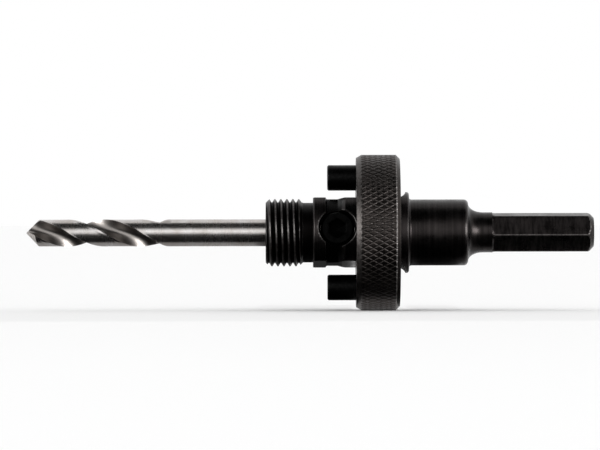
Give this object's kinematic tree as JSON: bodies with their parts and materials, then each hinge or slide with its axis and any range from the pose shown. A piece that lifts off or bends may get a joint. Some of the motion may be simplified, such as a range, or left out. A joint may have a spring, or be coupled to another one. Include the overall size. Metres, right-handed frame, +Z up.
{
  "type": "hole saw arbor",
  "caption": "Hex shank arbor with a threaded nose for hole saws, a twist drill clamped in its centre, and a knurled collar whose drive pins slide forward into the saw.",
  "frame": {"origin": "centre of the hex shank's end face, on the arbor's axis", "axes": "+X along the arbor's axis out of the shank's end, so the drill's tip points to -X; +Z up as the arbor lies on its collar; the set screw looks towards -Y, turned 8.2 degrees up about the axis"},
  "size_m": [0.1333, 0.0364, 0.0364],
  "materials": {
    "body_steel": "turned steel, black oxide, oiled",
    "collar_steel": "diamond knurled steel, black oxide",
    "pin_steel": "ground pin, black oxide",
    "screw_steel": "black socket screw steel",
    "drill_steel": "ground and polished high speed steel",
    "ball_steel": "polished bearing ball",
    "spring_steel": "drawn spring wire"
  },
  "bodies": {
    "arbor": {"arbor_body": "body_steel", "pilot_drill": "drill_steel"},
    "collar": {"drive_collar": "collar_steel", "drive_pin_upper": "pin_steel", "drive_pin_lower": "pin_steel", "detent_ball": "ball_steel", "detent_spring": "spring_steel", "detent_plug": "screw_steel"},
    "set_screw": {"pilot_set_screw": "screw_steel"}
  },
  "joints": [
    {"name": "collar_slide", "type": "slide", "parent": "arbor", "child": "collar", "axis": [-1, 0, 0], "range_m": [0, 0.0101]},
    {"name": "set_screw_turn", "type": "hinge", "parent": "arbor", "child": "set_screw", "pos_m": [-0.0602, 0, 0], "axis": [0, -0.9898, 0.1426], "range_deg": [0, 720]}
  ]
}
